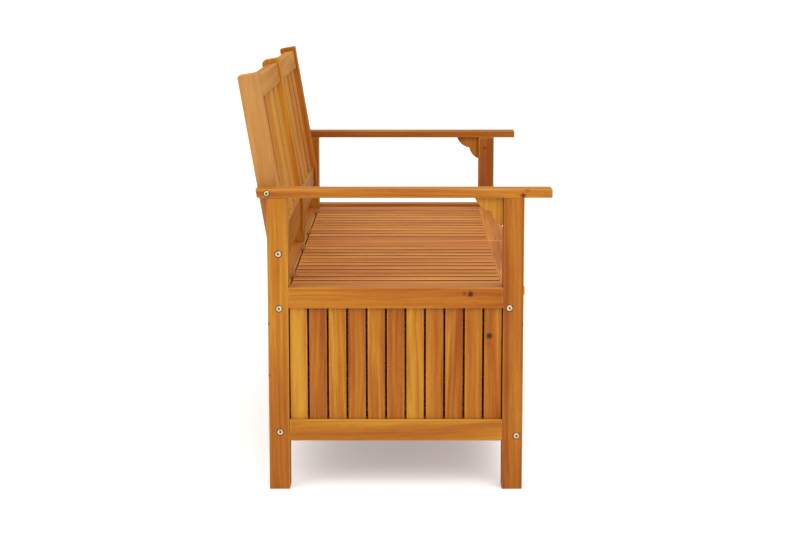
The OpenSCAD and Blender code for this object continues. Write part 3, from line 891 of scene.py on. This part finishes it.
@dataclass
class Arm:
    """One armrest and the curved bracket in its front corner."""

    LEFT_KNOTS = (Knot((-0.600, -0.2535, 0.600), 4.6 * MM, 0.85),
                  Knot((-0.600, -0.262, 0.611), 4.0 * MM, 0.5))

    side: Side
    ease: float = 2.2 * MM
    bracket_ease: float = 1.4 * MM
    left_tones: tuple[float, float] = (0.52, 0.78)
    right_tones: tuple[float, float] = (0.34, 0.36)

    def build(self) -> None:
        """Builds the armrest and its bracket, each in the first or the second tone."""
        side = self.side.value
        left = self.side is Side.LEFT
        wood = WoodFinish(f"armrest_wood_{side}", knots=self.LEFT_KNOTS if left else (),
                          streak=0.8).material()
        tone, bracket_tone = self.left_tones if left else self.right_tones
        Timber(f"armrest_{side}", wood, self.ease, tones=(tone,)).build()
        Timber(f"armrest_bracket_{side}", wood, self.bracket_ease,
               tones=(bracket_tone,)).build()


@dataclass
class BoxPanels:
    """Front, rear and floor of the box, with the rails and strips that carry them."""

    ease: float = 1.6 * MM
    slat_ease: float = 1.0 * MM

    def build(self) -> None:
        """Builds the panels' timbers."""
        rails = WoodFinish("long_rail_wood").material()
        slats = WoodFinish("box_slat_wood").material()
        inner = WoodFinish("inner_wood", roughness=0.58).material()
        for place in ("upper_front", "lower_front", "upper_rear", "lower_rear"):
            Timber(f"{place}_rail", rails, self.ease).build()
        for node in ("front_slats", "rear_slats"):
            Timber(node, slats, self.slat_ease, Order.X, tone_range=(0.12, 0.82)).build()
        Timber("floor_slats", inner, self.slat_ease, Order.X, tone_range=(0.2, 0.6)).build()
        Timber("floor_bearers", inner, self.slat_ease, Order.Y,
               tone_range=(0.2, 0.5)).build()
        Timber("centre_beam", inner, self.ease, tones=(0.4,)).build()
        Timber("hinge_board", rails, self.ease, tones=(0.34,)).build()


@dataclass
class Backrest:
    """The leaning back: three stiles, and in each half a crest rail, a bottom rail, slats."""

    ease: float = 1.8 * MM
    slat_ease: float = 1.4 * MM
    stile_tones: tuple[tuple[str, float], ...] = (("left", 0.52), ("middle", 0.36),
                                                  ("right", 0.22))

    def build(self) -> None:
        """Builds the backrest's timbers."""
        wood = WoodFinish("back_wood", sheen=0.03).material()
        # The back slats get only a little painted shade in their gaps.
        slats = WoodFinish("back_slat_wood", sheen=0.03, gap_shade_strength=0.25).material()
        pale = WoodFinish("stile_wood_left", heart=(0.38, 0.140, 0.030),
                          middle=(0.455, 0.205, 0.052), gold=(0.545, 0.300, 0.088),
                          fibre=0.6).material()
        for place, tone in self.stile_tones:
            Timber(f"back_stile_{place}", pale if place == "left" else wood, self.ease,
                   tones=(tone,)).build()
        for side in Side:
            Timber(f"crest_rail_{side.value}", wood, self.ease, tones=(0.74,)).build()
            Timber(f"back_bottom_rail_{side.value}", wood, self.ease).build()
            Timber(f"back_slats_{side.value}", slats, self.slat_ease, Order.X,
                   tone_range=(0.45, 0.85)).build()


@dataclass
class Lid:
    """One lift-up seat: a front board, the slats behind it and the battens below."""

    side: Side
    ease: float = 1.5 * MM
    slat_ease: float = 1.1 * MM

    def build(self) -> None:
        """Builds the lid's timbers."""
        side = self.side.value
        wood = WoodFinish(f"seat_wood_{side}", middle=(0.450, 0.142, 0.024),
                          # Full painted shade in the seat's gaps, in a dark red-brown.
                          gold=(0.585, 0.250, 0.042), streak=1.1, sheen=0.05, gap_shade_strength=1.0,
                          gap_shade_colour=(0.150, 0.022, 0.002), worn_and_highlit=(0.800, 0.360, 0.110),
                          # Strongly paler seat edges, partly wear and partly painted highlight.
                          wear_and_highlight=(0.6, 1.0)).material()
        Timber(f"lid_front_board_{side}", wood, self.ease, tones=(0.55,)).build()
        Timber(f"lid_slats_{side}", wood, self.slat_ease, Order.X,
               tone_range=(0.42, 0.80)).build()
        Timber(f"lid_battens_{side}", wood, self.ease, Order.Y,
               tone_range=(0.25, 0.5)).build()


@dataclass
class Fixings:
    """Bolts, screws, hinges and dowels."""

    bolt_head_rim: float = 1.3 * MM
    leaf_rim: float = 0.15 * MM

    def build(self) -> None:
        """Builds the fittings that show and dresses the ones inside the joints."""
        zinc = MetalFinish("zinc_bolt", (0.72, 0.62, 0.42), (0.30, 0.22, 0.12),
                           0.24).material()
        steel = MetalFinish("zinc_screw", (0.62, 0.62, 0.60), (0.40, 0.40, 0.38)).material()
        brass = MetalFinish("hinge_brass", (0.30, 0.13, 0.035), (0.14, 0.05, 0.012),
                            0.55, 0.35).material()
        beech = BeechFinish("dowel_beech").material()
        for node in ("frame_bolts_left", "frame_bolts_right", "armrest_bolts"):
            Fitting(node, zinc, head_rim=self.bolt_head_rim).build()
        for node in ("hinge_fixed_leaves", "hinge_moving_leaves_left",
                     "hinge_moving_leaves_right"):
            Fitting(node, brass, self.leaf_rim).build()
        for node, piece in frame["nodes"].items():
            if piece.hide_render:
                continue
            slot = slot_of_node(node)
            finish = {"dowel_wood": beech, "hinge_brass": brass, "brass_screws": brass,
                      "zinc_bolts": zinc, "zinc_screws": steel}[slot]
            dress_node(node, finish)


# ---- studio ----


@dataclass(frozen=True)
class SoftLight:
    """A soft square light: its place, the length of its sides, its power and its aim."""

    name: str
    place: tuple[float, float, float]
    size: float
    watts: float
    aim: tuple[float, float, float] = (0.0, 0.0, 0.45)

    def build(self) -> None:
        """Makes the light and turns it to its aim."""
        data = bpy.data.lights.new(self.name, "AREA")
        data.size, data.energy = self.size, self.watts
        light = bpy.data.objects.new(self.name, data)
        light.location = self.place
        way = Vector(self.aim) - Vector(self.place)
        light.rotation_euler = way.to_track_quat("-Z", "Y").to_euler()
        bpy.context.scene.collection.objects.link(light)


@dataclass
class Studio:
    """Pale floor, soft light and the camera."""

    camera_place: tuple[float, float, float] = (-3.7692, -0.02547, 1.0437)
    camera_dip: float = 8.21
    lens: float = 73.09
    sensor: float = 36.0
    shift: tuple[float, float] = (-0.00933, -0.08)
    lights: tuple[SoftLight, ...] = (SoftLight("key", (-3.4, -1.6, 3.4), 3.2, 70.0),
                                     SoftLight("fill", (-2.6, 2.8, 2.2), 2.6, 26.0))
    floor_reach: float = 90.0
    sky_low: float = 0.50
    sky_high: float = 1.34

    def build(self) -> None:
        """Sets up the studio."""
        self._camera()
        self._floor()
        for light in self.lights:
            light.build()
        self._sky()
        bpy.context.scene.view_settings.view_transform = "Standard"

    def _sky(self) -> None:
        """Makes the soft white surroundings, brighter overhead than at the horizon."""
        world = bpy.data.worlds.new("studio")
        world.use_nodes = True
        tree = world.node_tree
        way = tree.nodes.new("ShaderNodeTexCoord")
        split = tree.nodes.new("ShaderNodeSeparateXYZ")
        level = tree.nodes.new("ShaderNodeMapRange")
        level.inputs["To Min"].default_value = self.sky_low
        level.inputs["To Max"].default_value = self.sky_high
        tree.links.new(way.outputs["Generated"], split.inputs[0])
        tree.links.new(split.outputs["Z"], level.inputs["Value"])
        tree.links.new(level.outputs["Result"],
                       tree.nodes["Background"].inputs["Strength"])
        tree.nodes["Background"].inputs["Color"].default_value = (1, 1, 1, 1)
        bpy.context.scene.world = world

    def _camera(self) -> None:
        """Makes the camera that looks along the bench from its left end."""
        data = bpy.data.cameras.new("camera")
        data.sensor_width = self.sensor
        data.lens = self.lens
        data.shift_x, data.shift_y = self.shift
        camera = bpy.data.objects.new("camera", data)
        camera.location = self.camera_place
        camera.rotation_euler = (math.radians(90 - self.camera_dip), 0, math.radians(-90))
        bpy.context.scene.collection.objects.link(camera)
        bpy.context.scene.camera = camera

    def _floor(self) -> None:
        """Makes the floor under the feet."""
        bm = bmesh.new()
        bmesh.ops.create_grid(bm, x_segments=1, y_segments=1, size=self.floor_reach)
        mesh = bpy.data.meshes.new("studio_floor")
        bm.to_mesh(mesh)
        bm.free()
        mesh.materials.append(StudioFloorFinish().material())
        floor = bpy.data.objects.new("studio_floor", mesh)
        bpy.context.scene.collection.objects.link(floor)


def main() -> None:
    """Builds the studio, then the bench from its ends inwards."""
    logging.basicConfig(level=logging.INFO, format="%(name)s %(message)s")
    Studio().build()
    for side in Side:
        BoxEnd(side).build()
        Arm(side).build()
        Lid(side).build()
    BoxPanels().build()
    Backrest().build()
    Fixings().build()


if __name__ == "__main__":
    main()
